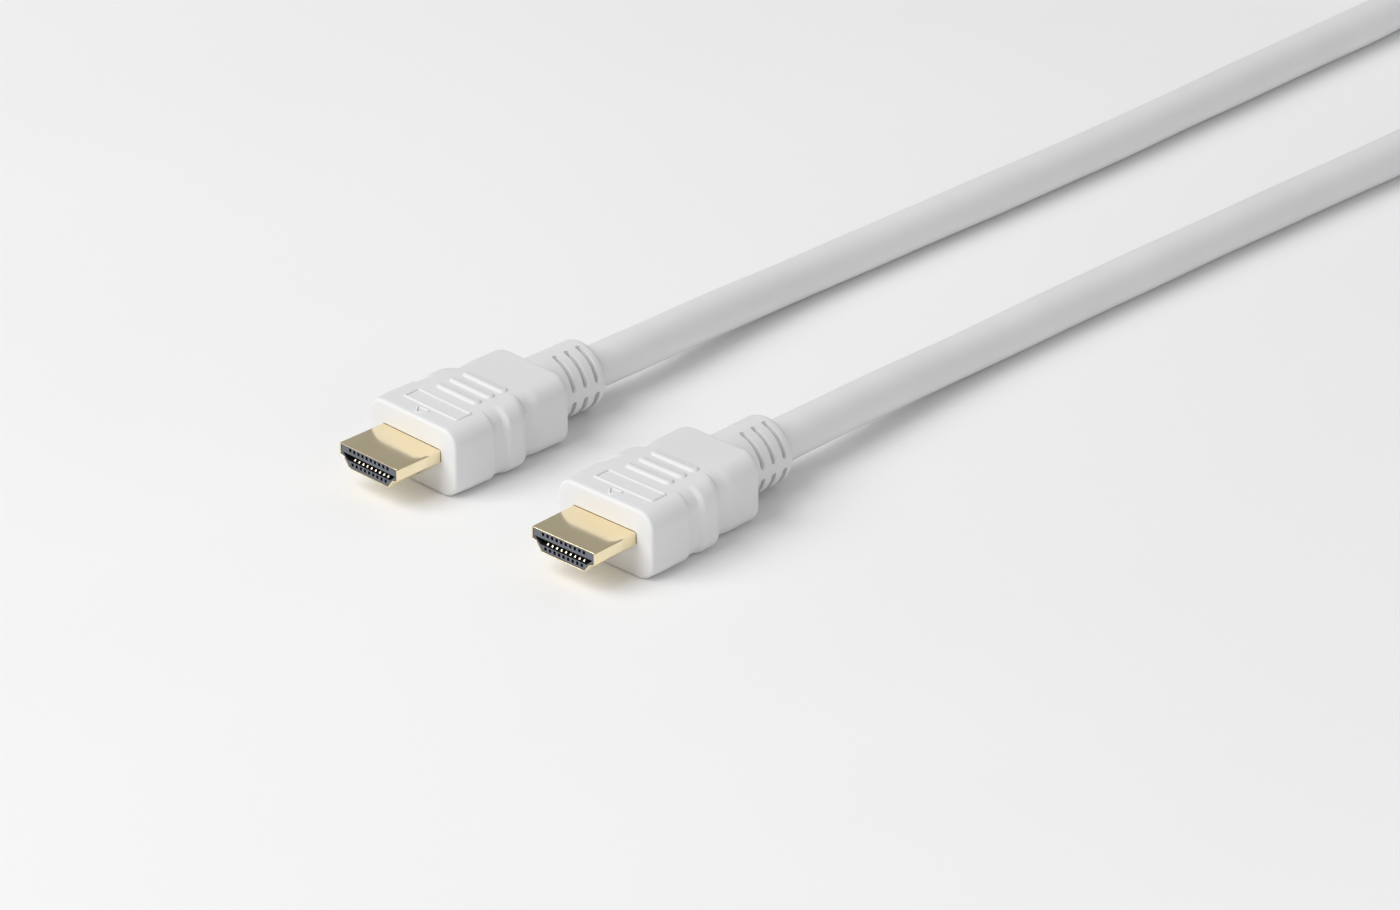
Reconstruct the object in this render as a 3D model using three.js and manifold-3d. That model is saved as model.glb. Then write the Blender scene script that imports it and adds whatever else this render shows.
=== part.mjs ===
// White digital video cable: two moulded plugs with gold shells, joined by one round white cord
// that runs from both plugs to a tied coil. Millimetres. X is a plug's width, Y runs from the
// plug's tip towards its cord, and Z is up from the floor that the cable lies on.
import * as THREE from 'three';
import Module from 'manifold-3d';

const wasm = await Module();
wasm.setup();

// Plug shell: a thin metal sleeve, wide side up
const SHELL_W = 13.9;
const SHELL_H = 4.15;
const SHELL_WALL = 0.35;
const SHELL_SIDE_H = 2.3; // height of the upright side below the top
const SHELL_STEP_IN = 1.05; // inward step under the upright side
const SHELL_STEP_DROP = 0.3;
const SHELL_SLANT_IN = 1.15; // inward run of the slanted side
const SHELL_OUT = 9.7; // length that stands out of the moulding
const SHELL_IN = 3.0; // length held inside the moulding
const SHELL_LIFT = 4.05; // underside of the shell above the floor

// Insulator in the shell
const INS_RECESS = 0.45; // its face behind the shell's tip
const TONGUE_W = 12.2; // slot that takes the socket's tongue
const TONGUE_H = 1.25;
const TONGUE_DEEP = 7.2;
const TONGUE_UP = 2.05; // middle of the slot above the shell's underside
const WINDOW_W = 0.53;
const WINDOW_H = 0.45;
const WINDOW_DEEP = 1.2;
const WINDOW_GAP = 0.22; // land between a window and the slot

// Contacts in two staggered rows
const UPPER_CONTACTS = 10;
const LOWER_CONTACTS = 9;
const CONTACT_PITCH = 1.0;
const CONTACT_W = 0.42;
const CONTACT_T = 0.22;
const CONTACT_SET = 0.6; // start of a contact behind the insulator's face

// Moulded body
const BODY_W = 21.4;
const BODY_H = 12.3;
const EDGE_R = 3.1; // rounding of the long edges
const END_R = 0.6; // rounding round the front and back faces
const FRONT_BLOCK = 8.4; // front block's length, before its rear edge rounds inwards
const BLOCK_EDGE = 0.5;
const VALLEY1_DEEP = 0.65;
const VALLEY1_END = 11.1;
const BAND_START = 12.4;
const BAND_END = 14.5;
const VALLEY2_AT = 16.8;
const VALLEY2_DEEP = 1.8;
const VALLEY2_END = 18.0;
const REAR_START = 20.5;
const REAR_IN = 1.4; // rear block's inset on each side
const BODY_L = 27.4;
const REAR_CORNER_R = 1.5;

// Raised marks on the moulding's top
const RIB_COUNT = 3;
const RIB_L = 9.8;
const RIB_W = 1.7;
const RIB_RISE = 0.25;
const RIB_FIRST = 10.4; // middle of the first rib behind the front face
const RIB_PITCH = 3.1;
const PANEL_W = 13.0;
const PANEL_L = 3.4;
const PANEL_AT = 5.5;
const PANEL_LINE = 0.4;
const ARROW_W = 2.2;
const ARROW_L = 1.5;
const ARROW_AT = 1.9;

// Strain relief, moulded as one with the body
const RELIEF_R = 6.0;
const RELIEF_L = 11.6;
const RELIEF_END_R = 0.9;
const RELIEF_SIDES = 36;
const RELIEF_BITE = 3.0; // length inside the body
const SLOT_ROWS = 3;
const SLOT_FIRST = 4.0; // middle of the first row behind the body
const SLOT_PITCH = 2.65;
const SLOT_W = 1.1;
const SLOT_DEEP = 1.3;
const SLOT_BAR = 18; // degrees between two slots of a row
const SLOT_STEPS = 6;

// Cord: each run is a list of [across, along, height] from the plug's exit, with the height
// from 1 at the exit's axis down to 0 where the cord lies on the floor
const CORD_D = 7.5;
const CORD_GAP = 0.3; // open gap between a cord's end and the piece it meets
const CORD_SIDES = 12;
const RUN_A = [
  [0, 0, 1],
  [0, 12, 0.96],
  [-1.3, 28, 0.6],
  [-2.6, 50, 0.12],
  [-2.6, 78, 0],
  [-2.3, 103, 0],
  [-2.1, 129, 0],
  [-2.7, 157, 0],
  [-3.4, 190, 0],
];
const RUN_B = [
  [0, 0, 1],
  [-0.5, 12, 0.96],
  [-1.9, 28, 0.6],
  [-3.4, 50, 0.12],
  [-4.1, 76, 0],
  [-4.2, 104, 0],
  [-4.1, 134, 0],
  [-3.8, 160, 0],
  [-1.8, 184, 0],
  [6.6, 203.5, 0],
];
const RUN_STEP = 16; // length of one cord facet

// Coil of spare cord, two layers of turns, held by one tie
const COIL_MEAN_R = 39.75;
const COIL_ACROSS = 3; // turns side by side
const COIL_LAYERS = 2;
const COIL_AT = [28, 268]; // middle of the coil from the first plug's exit
const COIL_MEET = [-125, -60]; // directions in which the two runs reach the coil, degrees
const COIL_SIDES = 32;
const TIE_TURN = 60; // direction of the tie from the coil's middle, degrees
const TIE_W = 9;
const TIE_T = 1.2;
const TIE_GAP = 0.2;

// Second plug beside the first
const PLUG_B_AT = [43.2, 2.6];
const PLUG_B_TURN = 2.5; // degrees

const AXIS_Z = BODY_H / 2;
const SHELL_TOP = SHELL_LIFT + SHELL_H;
const FRONT_Y = SHELL_OUT;
const BODY_END_Y = FRONT_Y + BODY_L;
const EXIT_Y = BODY_END_Y + RELIEF_L;

const WHITE = () => new THREE.MeshStandardMaterial({ color: 0xececec, roughness: 0.5 });
const GOLD = () => new THREE.MeshStandardMaterial({ color: 0xd9bf86, roughness: 0.25, metalness: 1 });
const DARK = () => new THREE.MeshStandardMaterial({ color: 0x4a4c50, roughness: 0.6 });
const BRIGHT = () => new THREE.MeshStandardMaterial({ color: 0xf0dfb8, roughness: 0.2, metalness: 1 });

function weld(geometry) {
  const flat = geometry.index ? geometry.toNonIndexed() : geometry;
  const src = flat.attributes.position;
  const keys = new Map();
  const verts = [];
  const tris = [];
  for (let i = 0; i < src.count; i += 1) {
    const p = [src.getX(i), src.getY(i), src.getZ(i)];
    const key = p.map((v) => Math.round(v * 1e5)).join(',');
    if (!keys.has(key)) {
      keys.set(key, verts.length / 3);
      verts.push(...p);
    }
    tris.push(keys.get(key));
  }
  const kept = [];
  for (let i = 0; i < tris.length; i += 3) {
    const [a, b, c] = tris.slice(i, i + 3);
    if (a !== b && b !== c && a !== c) kept.push(a, b, c);
  }
  return { verts, tris: kept };
}

function solid(geometry) {
  const { verts, tris } = weld(geometry);
  return new wasm.Manifold(
    new wasm.Mesh({
      numProp: 3,
      vertProperties: new Float32Array(verts),
      triVerts: new Uint32Array(tris),
    })
  );
}

function toGeometry(manifold) {
  const mesh = manifold.getMesh();
  const out = new THREE.BufferGeometry();
  out.setAttribute('position', new THREE.BufferAttribute(new Float32Array(mesh.vertProperties), 3));
  out.setIndex(new THREE.BufferAttribute(new Uint32Array(mesh.triVerts), 1));
  out.computeVertexNormals();
  return out;
}

function outline(points) {
  return new THREE.Shape(points.map(([x, y]) => new THREE.Vector2(x, y)));
}

// Rounds the corners of a closed outline, each with its own radius and number of steps.
function rounded(points, radii, steps) {
  const out = [];
  const n = points.length;
  for (let i = 0; i < n; i += 1) {
    const p = new THREE.Vector2(...points[i]);
    const a = new THREE.Vector2(...points[(i + n - 1) % n]).sub(p).normalize();
    const b = new THREE.Vector2(...points[(i + 1) % n]).sub(p).normalize();
    const half = Math.acos(a.dot(b)) / 2;
    const r = radii[i];
    if (r === 0) {
      out.push([p.x, p.y]);
      continue;
    }
    const reach = r / Math.tan(half);
    const centre = a.clone().add(b).normalize().multiplyScalar(r / Math.sin(half)).add(p);
    const from = a.clone().multiplyScalar(reach).add(p).sub(centre);
    const to = b.clone().multiplyScalar(reach).add(p).sub(centre);
    const turn = Math.atan2(from.x * to.y - from.y * to.x, from.dot(to));
    for (let k = 0; k <= steps; k += 1) {
      const q = from.clone().rotateAround(new THREE.Vector2(), (turn * k) / steps).add(centre);
      out.push([q.x, q.y]);
    }
  }
  return out;
}

// An X-Z outline drawn out along Y from y0 to y1, with its end edges rounded by bevel.
function alongY(shape, y0, y1, bevel = 0, steps = 3) {
  const geometry = new THREE.ExtrudeGeometry(shape, {
    depth: y1 - y0 - 2 * bevel,
    bevelEnabled: bevel > 0,
    bevelThickness: bevel,
    bevelSize: bevel,
    bevelOffset: -bevel,
    bevelSegments: steps,
    curveSegments: 1,
  });
  geometry.rotateX(Math.PI / 2);
  geometry.translate(0, y1 - bevel, 0);
  return geometry;
}

// An X-Y outline drawn up along Z from z0 to z1.
function alongZ(shape, z0, z1) {
  const geometry = new THREE.ExtrudeGeometry(shape, {
    depth: z1 - z0,
    bevelEnabled: false,
    curveSegments: 1,
  });
  geometry.translate(0, 0, z0);
  return geometry;
}

function box(x, y, z, w, l, h) {
  const geometry = new THREE.BoxGeometry(w, l, h);
  geometry.translate(x, y, z);
  return geometry;
}

// Shell section, set in by `inset` from the outside, wide side up.
function shellOutline(inset) {
  const half = SHELL_W / 2;
  const slantX = half - SHELL_STEP_IN;
  const footX = slantX - SHELL_SLANT_IN;
  const stepZ = SHELL_TOP - SHELL_SIDE_H;
  const right = [
    [footX - inset * 0.5, SHELL_LIFT + inset],
    [slantX - inset * 0.8, stepZ - SHELL_STEP_DROP + inset * 0.5],
    [half - inset, stepZ + inset * 0.6],
    [half - inset, SHELL_TOP - inset],
  ];
  const left = right.map(([x, z]) => [-x, z]).reverse();
  const r = Math.max(0.45 - inset, 0.12);
  return rounded([...right, ...left], [0.3, 0.2, 0.3, r, r, 0.3, 0.2, 0.3], 3);
}

function shell() {
  const outer = solid(alongY(outline(shellOutline(0)), 0, SHELL_OUT + SHELL_IN));
  const inner = solid(alongY(outline(shellOutline(SHELL_WALL)), -1, SHELL_OUT + SHELL_IN + 1));
  return toGeometry(outer.subtract(inner));
}

function contactXs(count) {
  const xs = [];
  for (let i = 0; i < count; i += 1) {
    xs.push((i - (count - 1) / 2) * CONTACT_PITCH);
  }
  return xs;
}

function insulator() {
  const y0 = INS_RECESS;
  const slotZ = SHELL_LIFT + TONGUE_UP;
  let body = solid(alongY(outline(shellOutline(SHELL_WALL)), y0, SHELL_OUT + SHELL_IN));
  const slot = box(0, y0 - 1 + (TONGUE_DEEP + 1) / 2, slotZ, TONGUE_W, TONGUE_DEEP + 1, TONGUE_H);
  body = body.subtract(solid(slot));
  const windowUp = TONGUE_H / 2 + WINDOW_GAP + WINDOW_H / 2;
  const rows = [
    [UPPER_CONTACTS, slotZ + windowUp],
    [LOWER_CONTACTS, slotZ - windowUp],
  ];
  for (const [count, z] of rows) {
    for (const x of contactXs(count)) {
      const cut = box(x, y0 - 1 + (WINDOW_DEEP + 1) / 2, z, WINDOW_W, WINDOW_DEEP + 1, WINDOW_H);
      body = body.subtract(solid(cut));
    }
  }
  return toGeometry(body);
}

function contacts() {
  const slotZ = SHELL_LIFT + TONGUE_UP;
  const y0 = INS_RECESS + CONTACT_SET;
  const l = TONGUE_DEEP - CONTACT_SET;
  const z = (TONGUE_H - CONTACT_T) / 2;
  const upper = contactXs(UPPER_CONTACTS).map((x) => [x, slotZ + z]);
  const lower = contactXs(LOWER_CONTACTS).map((x) => [x, slotZ - z]);
  const all = [...upper, ...lower];
  return all.map(([x, up]) => box(x, y0 + l / 2, up, CONTACT_W, l, CONTACT_T));
}

// Half widths of the moulding in plan, from the front face to the back.
function bodySide() {
  const half = BODY_W / 2;
  const rear = half - REAR_IN;
  const side = [[half, END_R], [half, FRONT_BLOCK]];
  const fallAway = (from, to, deep, steps) => {
    for (let k = 1; k <= steps; k += 1) {
      const a = (k / steps) * (Math.PI / 2);
      side.push([half - deep * (1 - Math.cos(a)), from + (to - from) * Math.sin(a)]);
    }
  };
  fallAway(FRONT_BLOCK, FRONT_BLOCK + BLOCK_EDGE, VALLEY1_DEEP, 3);
  side.push([half - VALLEY1_DEEP, VALLEY1_END]);
  side.push([half - VALLEY1_DEEP / 2, (VALLEY1_END + BAND_START) / 2]);
  side.push([half, BAND_START], [half, BAND_END]);
  fallAway(BAND_END, VALLEY2_AT, VALLEY2_DEEP, 5);
  side.push([half - VALLEY2_DEEP, VALLEY2_END]);
  side.push([rear, REAR_START], [rear, BODY_L - REAR_CORNER_R]);
  for (let k = 1; k <= 3; k += 1) {
    const a = (k / 3) * Math.acos(END_R / REAR_CORNER_R);
    const x = rear - REAR_CORNER_R * (1 - Math.cos(a));
    side.push([x, BODY_L - REAR_CORNER_R * (1 - Math.sin(a))]);
  }
  return side;
}


function relief() {
  const y0 = BODY_END_Y - RELIEF_BITE;
  const points = [new THREE.Vector2(0, y0), new THREE.Vector2(RELIEF_R, y0)];
  for (let k = 0; k <= 3; k += 1) {
    const a = (k / 3) * (Math.PI / 2);
    const r = RELIEF_R - RELIEF_END_R * (1 - Math.cos(a));
    points.push(new THREE.Vector2(r, EXIT_Y - RELIEF_END_R * (1 - Math.sin(a))));
  }
  points.push(new THREE.Vector2(0, EXIT_Y));
  const geometry = new THREE.LatheGeometry(points, RELIEF_SIDES);
  let sleeve = solid(geometry);
  const span = 90 - SLOT_BAR;
  for (let row = 0; row < SLOT_ROWS; row += 1) {
    const y = BODY_END_Y + SLOT_FIRST + row * SLOT_PITCH;
    for (let q = 0; q < 4; q += 1) {
      const start = q * 90 + SLOT_BAR / 2;
      const ring = [];
      for (let k = 0; k <= SLOT_STEPS; k += 1) {
        const a = THREE.MathUtils.degToRad(start + (span * k) / SLOT_STEPS);
        ring.push([(RELIEF_R + 1) * Math.cos(a), (RELIEF_R + 1) * Math.sin(a)]);
      }
      for (let k = SLOT_STEPS; k >= 0; k -= 1) {
        const a = THREE.MathUtils.degToRad(start + (span * k) / SLOT_STEPS);
        ring.push([(RELIEF_R - SLOT_DEEP) * Math.cos(a), (RELIEF_R - SLOT_DEEP) * Math.sin(a)]);
      }
      sleeve = sleeve.subtract(solid(alongY(outline(ring), y - SLOT_W / 2, y + SLOT_W / 2)));
    }
  }
  return sleeve.translate([0, 0, AXIS_Z]);
}

function topMarks() {
  const z0 = BODY_H - 0.5;
  const z1 = BODY_H + RIB_RISE;
  const marks = [];
  for (let i = 0; i < RIB_COUNT; i += 1) {
    const y = FRONT_Y + RIB_FIRST + i * RIB_PITCH;
    const x = RIB_L / 2;
    const h = RIB_W / 2;
    const corners = [[x, y + h], [-x, y + h], [-x, y - h], [x, y - h]];
    const shape = rounded(corners, [h * 0.98, h * 0.98, h * 0.98, h * 0.98], 4);
    marks.push(solid(alongZ(outline(shape), z0, z1)));
  }
  const py = FRONT_Y + PANEL_AT;
  const frame = solid(box(0, py, (z0 + z1) / 2, PANEL_W, PANEL_L, z1 - z0));
  const hole = solid(box(0, py, BODY_H + 1, PANEL_W - 2 * PANEL_LINE, PANEL_L - 2 * PANEL_LINE, 2));
  marks.push(frame.subtract(hole));
  const ay = FRONT_Y + ARROW_AT;
  const arrow = [[ARROW_W / 2, ay + ARROW_L / 2], [-ARROW_W / 2, ay + ARROW_L / 2], [0, ay - ARROW_L / 2]];
  marks.push(solid(alongZ(outline(arrow), z0, z1)));
  return marks;
}

// One ring of the moulding's section, with its long edges rounded.
function bodyRing(half, y, inset) {
  const w = half - inset;
  const r = EDGE_R - inset;
  const corners = [[w, inset], [w, BODY_H - inset], [-w, BODY_H - inset], [-w, inset]];
  return rounded(corners, [r, r, r, r], 5).map(([x, z]) => [x, FRONT_Y + y, z]);
}

// Closed body through rings that all have the same number of points.
function loft(rings) {
  const n = rings[0].length;
  const index = [];
  for (let i = 0; i + 1 < rings.length; i += 1) {
    for (let j = 0; j < n; j += 1) {
      const [a, b] = [i * n + j, i * n + ((j + 1) % n)];
      index.push(a, b + n, b, a, a + n, b + n);
    }
  }
  const last = (rings.length - 1) * n;
  for (let j = 1; j + 1 < n; j += 1) {
    index.push(0, j, j + 1, last, last + j + 1, last + j);
  }
  const geometry = new THREE.BufferGeometry();
  geometry.setAttribute('position', new THREE.Float32BufferAttribute(rings.flat(2), 3));
  geometry.setIndex(index);
  return geometry;
}

function bodyRings() {
  const side = bodySide();
  const rings = [];
  for (let k = 0; k < 3; k += 1) {
    const a = (k / 3) * (Math.PI / 2);
    rings.push(bodyRing(BODY_W / 2, END_R * (1 - Math.cos(a)), END_R * (1 - Math.sin(a))));
  }
  for (const [half, y] of side) {
    rings.push(bodyRing(half, y, 0));
  }
  const [half, y] = side[side.length - 1];
  for (let k = 1; k <= 3; k += 1) {
    const a = (k / 3) * (Math.PI / 2);
    rings.push(bodyRing(half, y + (BODY_L - y) * Math.sin(a), END_R * (1 - Math.cos(a))));
  }
  return rings;
}

function overmould() {
  let body = solid(loft(bodyRings()));
  for (const mark of topMarks()) {
    body = body.add(mark);
  }
  body = body.add(relief());
  const pocket = alongY(outline(shellOutline(0)), FRONT_Y - 1, SHELL_OUT + SHELL_IN);
  body = body.subtract(solid(pocket));
  return toGeometry(body);
}

const group = new THREE.Group();
group.name = 'video_cable';

function add(name, geometry, material) {
  const mesh = new THREE.Mesh(geometry, material);
  mesh.name = name;
  group.add(mesh);
}

function place(geometry, plug) {
  if (plug === 'b') {
    geometry.rotateZ(THREE.MathUtils.degToRad(PLUG_B_TURN));
    geometry.translate(PLUG_B_AT[0], PLUG_B_AT[1], 0);
  }
  return geometry;
}

for (const plug of ['a', 'b']) {
  add(`overmould_${plug}`, place(overmould(), plug), WHITE());
  add(`shell_${plug}`, place(shell(), plug), GOLD());
  add(`insulator_${plug}`, place(insulator(), plug), DARK());
  contacts().forEach((geometry, i) => {
    const number = String(i + 1).padStart(2, '0');
    add(`contact_${plug}_${number}`, place(geometry, plug), BRIGHT());
  });
}

// Cord runs
const LIE_Z = CORD_D / 2;
const TURN_B = THREE.MathUtils.degToRad(PLUG_B_TURN);
const START_Y = EXIT_Y + CORD_GAP;
const START_A = [0, START_Y];
const START_B = [
  PLUG_B_AT[0] - Math.sin(TURN_B) * START_Y,
  PLUG_B_AT[1] + Math.cos(TURN_B) * START_Y,
];
const COIL_X = COIL_AT[0];
const COIL_Y = START_Y + COIL_AT[1];
const COIL_H = COIL_LAYERS * CORD_D;
const COIL_W = COIL_ACROSS * CORD_D;
const COIL_R = COIL_MEAN_R + COIL_W / 2;

// The end of a run beside the coil, stood off by as much as the cord's end leans there
function meetPoint(last, degrees) {
  const a = THREE.MathUtils.degToRad(degrees);
  const out = new THREE.Vector2(Math.cos(a), Math.sin(a));
  const middle = new THREE.Vector2(COIL_X, COIL_Y);
  const near = out.clone().multiplyScalar(COIL_R + CORD_GAP).add(middle);
  const heading = near.clone().sub(new THREE.Vector2(last.x, last.y)).normalize();
  const lean = Math.abs(heading.cross(out));
  return out.multiplyScalar(COIL_R + CORD_GAP + LIE_Z * lean).add(middle);
}

function tube(start, run, meet) {
  const points = run.map(([across, along, height]) => {
    const z = LIE_Z + (AXIS_Z - LIE_Z) * height;
    return new THREE.Vector3(start[0] + across, start[1] + along, z);
  });
  const end = meetPoint(points[points.length - 1], meet);
  points.push(new THREE.Vector3(end.x, end.y, LIE_Z));
  const curve = new THREE.CatmullRomCurve3(points, false, 'centripetal');
  const ring = [];
  for (let k = 0; k < CORD_SIDES; k += 1) {
    const t = ((k + 0.5) / CORD_SIDES) * 2 * Math.PI;
    ring.push([LIE_Z * Math.cos(t), LIE_Z * Math.sin(t)]);
  }
  return new THREE.ExtrudeGeometry(outline(ring), {
    steps: Math.round(curve.getLength() / RUN_STEP),
    bevelEnabled: false,
    extrudePath: curve,
  });
}

add('cord_a', tube(START_A, RUN_A, COIL_MEET[0]), WHITE());
add('cord_b', tube(START_B, RUN_B, COIL_MEET[1]), WHITE());

// Section of the coil at its mean radius, set in by `inset`
function coilSection(inset) {
  const w = COIL_W / 2 - inset;
  const h = COIL_H / 2 - inset;
  const corners = [[w, -h], [w, h], [-w, h], [-w, -h]];
  const r = LIE_Z - inset;
  return rounded(corners, [r, r, r, r], 3).map(([x, z]) => [x, z + COIL_H / 2]);
}

function tieBlock(inset, width) {
  const geometry = alongY(outline(coilSection(inset)), -width / 2, width / 2);
  geometry.translate(COIL_MEAN_R, 0, 0);
  geometry.rotateZ(THREE.MathUtils.degToRad(TIE_TURN));
  geometry.translate(COIL_X, COIL_Y, 0);
  return solid(geometry);
}

function coil() {
  const points = coilSection(0).map(([x, z]) => new THREE.Vector2(COIL_MEAN_R + x, z));
  points.push(points[0].clone());
  const geometry = new THREE.LatheGeometry(points, COIL_SIDES);
  geometry.rotateX(Math.PI / 2);
  geometry.translate(COIL_X, COIL_Y, 0);
  const wide = TIE_W + 2 * TIE_GAP;
  const cut = box(0, 0, COIL_H / 2, COIL_W + CORD_D, wide, COIL_H + CORD_D);
  cut.translate(COIL_MEAN_R, 0, 0);
  cut.rotateZ(THREE.MathUtils.degToRad(TIE_TURN));
  cut.translate(COIL_X, COIL_Y, 0);
  const groove = solid(cut).subtract(tieBlock(TIE_T + TIE_GAP, wide + CORD_D));
  return toGeometry(solid(geometry).subtract(groove));
}

add('cord_coil', coil(), WHITE());
add('cord_tie', toGeometry(tieBlock(0, TIE_W).subtract(tieBlock(TIE_T, TIE_W + CORD_D))), WHITE());

// The origin is on the floor, under the middle of the two plugs.
const plugs = new THREE.Box3();
for (const mesh of group.children) {
  if (!mesh.name.startsWith('cord')) plugs.expandByObject(mesh);
}
const middle = plugs.getCenter(new THREE.Vector3());
for (const mesh of group.children) {
  mesh.geometry.translate(-middle.x, -middle.y, 0);
}

export default group;
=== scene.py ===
import math

import bmesh
import bpy
from mathutils import Matrix, Vector


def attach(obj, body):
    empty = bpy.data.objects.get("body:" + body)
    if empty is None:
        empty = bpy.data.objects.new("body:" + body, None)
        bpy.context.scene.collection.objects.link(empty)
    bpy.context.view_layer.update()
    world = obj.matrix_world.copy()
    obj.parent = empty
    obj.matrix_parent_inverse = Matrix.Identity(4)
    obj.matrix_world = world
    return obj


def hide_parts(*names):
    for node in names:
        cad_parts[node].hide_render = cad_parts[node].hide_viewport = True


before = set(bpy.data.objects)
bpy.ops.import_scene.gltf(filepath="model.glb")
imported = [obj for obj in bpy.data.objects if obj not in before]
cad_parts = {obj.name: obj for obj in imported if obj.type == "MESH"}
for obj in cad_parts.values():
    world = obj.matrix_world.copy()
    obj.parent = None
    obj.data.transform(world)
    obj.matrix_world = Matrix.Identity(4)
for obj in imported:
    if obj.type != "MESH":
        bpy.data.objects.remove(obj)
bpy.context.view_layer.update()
MM = 0.001

# Plug sizes
BODY_W = 21.4
BODY_H = 12.3
BODY_L = 27.4
EDGE_R = 3.1
END_R = 0.6
FRONT_BLOCK = 8.4
BLOCK_EDGE = 0.5
VALLEY1_DEEP = 0.65
VALLEY1_END = 11.1
BAND_START = 12.4
BAND_END = 14.5
VALLEY2_AT = 16.8
VALLEY2_DEEP = 1.8
VALLEY2_END = 18.0
REAR_START = 20.5
REAR_IN = 1.4
REAR_CORNER_R = 1.5
FRONT_Y = 9.7
BACK_Y = FRONT_Y + BODY_L
SLEEVE_R = 6.0
SLEEVE_L = 11.6
EXIT_Y = BACK_Y + SLEEVE_L
AXIS_Z = BODY_H / 2
SHELL_W = 13.9
SHELL_H = 4.15
SHELL_LIFT = 4.05
SHELL_WALL = 0.22
FACE_Y = 0.15
SLOT_FLOOR = 5.45
SLOT_TOP = 6.62
SLOT_DEEP = 7.2
SLOT_FLOOR_HALF = 5.1
SLOT_TOP_HALF = 6.4
WINDOW_HALF_W = 0.27
WINDOW_HALF_H = 0.3
WINDOW_DEEP = 2.2
UPPER_WINDOWS_Z = 7.42
LOWER_WINDOWS_Z = 4.95
PIN_PITCH = 1.0
UPPER_PINS = 10
LOWER_PINS = 9
PIN_HALF_W = 0.17
PIN_TOP_HALF_W = 0.09
PIN_END_Y = 7.18
UPPER_PINS_BACK = 1.6

# Strain relief: rows of slots round the sleeve
RELIEF_ROWS = 3
RELIEF_FIRST = 4.0
RELIEF_PITCH = 2.65
RELIEF_SLOT_HALF = 0.5
RELIEF_SLOT_DEEP = 1.4
RELIEF_BAR_HALF = 9.0
RELIEF_END_R = 1.1

# Relief on the plug's top: panel rim, arrow and grip ribs
PANEL_HALF_W = 6.5
PANEL_HALF_L = 1.8
PANEL_X = 0.55
PANEL_Y = 5.4
ARROW_X = 0.15
ARROW_Y = 1.95
RIB_COUNT = 3
RIB_HALF_L = 5.05
RIB_HALF_W = 1.02
RIB_X = 0.22
RIB_FIRST = 10.48
RIB_PITCH = 2.97

# Cord and coil
CORD_D = 7.5
LIE_Z = CORD_D / 2
START_Y = EXIT_Y + 0.3
COIL_X, COIL_Y = 28.0, START_Y + 268.0
COIL_OUT_R = 47.25
COIL_TURNS = 5.5
COIL_TURN_STEPS = 18
COIL_LIFT = 1.3
STEP_TURNS = 0.46
STEPS_IN = (0.53, 1.55)
STEPS_OUT = (3.48, 4.5)
RISE_AT = 2.52
RISE_ROOM = 2.1
CORD_STEP = 3.5
CORD_SIDES = 32
SPLINE_STEPS = 16

# Strap round the coil
TIE_TURN = 60.0
TIE_HALF_W = 4.5
TIE_THICK = 1.1
TIE_LOW = 1.15
TIE_HIGH = 16.4
TIE_CORNER_R = 3.8
LAP_HALF_W = 4.0
LAP_LOW = 17.3
LAP_HIGH = 17.5

# The row frame's origin as seen from the first plug, and the second plug's place
ORIGIN = Vector((21.3702667, 25.7380524, 0.0))
PLUG_B_AT = Vector((43.2, 2.6, 0.0))
PLUG_B_TURN = math.radians(2.5)
PLACE = {
    "a": Matrix.Translation(-ORIGIN),
    "b": Matrix.Translation(PLUG_B_AT - ORIGIN) @ Matrix.Rotation(PLUG_B_TURN, 4, "Z"),
}


# Camera, fitted to the photograph's edges
CAMERA_YAW = math.radians(45.21)
CAMERA_PITCH = math.radians(27.65)
CAMERA_TARGET = Vector((26.87, 49.66, 0.0))
CAMERA_DISTANCE = 1160.0
CAMERA_LENS = 180.0


def aim_camera():
    """The photograph's view: a long lens from the right, 28 degrees up."""
    yaw, pitch = CAMERA_YAW, CAMERA_PITCH
    right = Vector((math.cos(yaw), math.sin(yaw), 0.0))
    away = Vector((-math.sin(yaw), math.cos(yaw), 0.0))
    forward = away * math.cos(pitch) + Vector((0.0, 0.0, -1.0)) * math.sin(pitch)
    up = right.cross(forward)
    place = (CAMERA_TARGET - ORIGIN - forward * CAMERA_DISTANCE) * MM
    data = bpy.data.cameras.new("photo_camera")
    data.sensor_width = 36.0
    data.lens = CAMERA_LENS
    data.clip_start = 0.05
    data.clip_end = 50.0
    camera = bpy.data.objects.new("photo_camera", data)
    bpy.context.scene.collection.objects.link(camera)
    camera.matrix_world = Matrix(
        (
            (right.x, up.x, -forward.x, place.x),
            (right.y, up.y, -forward.y, place.y),
            (right.z, up.z, -forward.z, place.z),
            (0.0, 0.0, 0.0, 1.0),
        )
    )
    bpy.context.scene.camera = camera


# Shader groups


def new_group(name, inputs, outputs):
    tree = bpy.data.node_groups.new(name, "ShaderNodeTree")
    for label, kind, value in inputs:
        socket = tree.interface.new_socket(label, in_out="INPUT", socket_type=kind)
        socket.default_value = value
    for label, kind in outputs:
        tree.interface.new_socket(label, in_out="OUTPUT", socket_type=kind)
    return tree, tree.nodes.new("NodeGroupInput"), tree.nodes.new("NodeGroupOutput")


def node(tree, kind, values=None, **settings):
    made = tree.nodes.new(kind)
    for key, value in settings.items():
        setattr(made, key, value)
    for key, value in (values or {}).items():
        made.inputs[key].default_value = value
    return made


def math_node(tree, operation, a, b):
    made = node(tree, "ShaderNodeMath", operation=operation)
    for i, value in enumerate((a, b)):
        if isinstance(value, (int, float)):
            made.inputs[i].default_value = value
        else:
            tree.links.new(value, made.inputs[i])
    return made.outputs[0]


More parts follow.
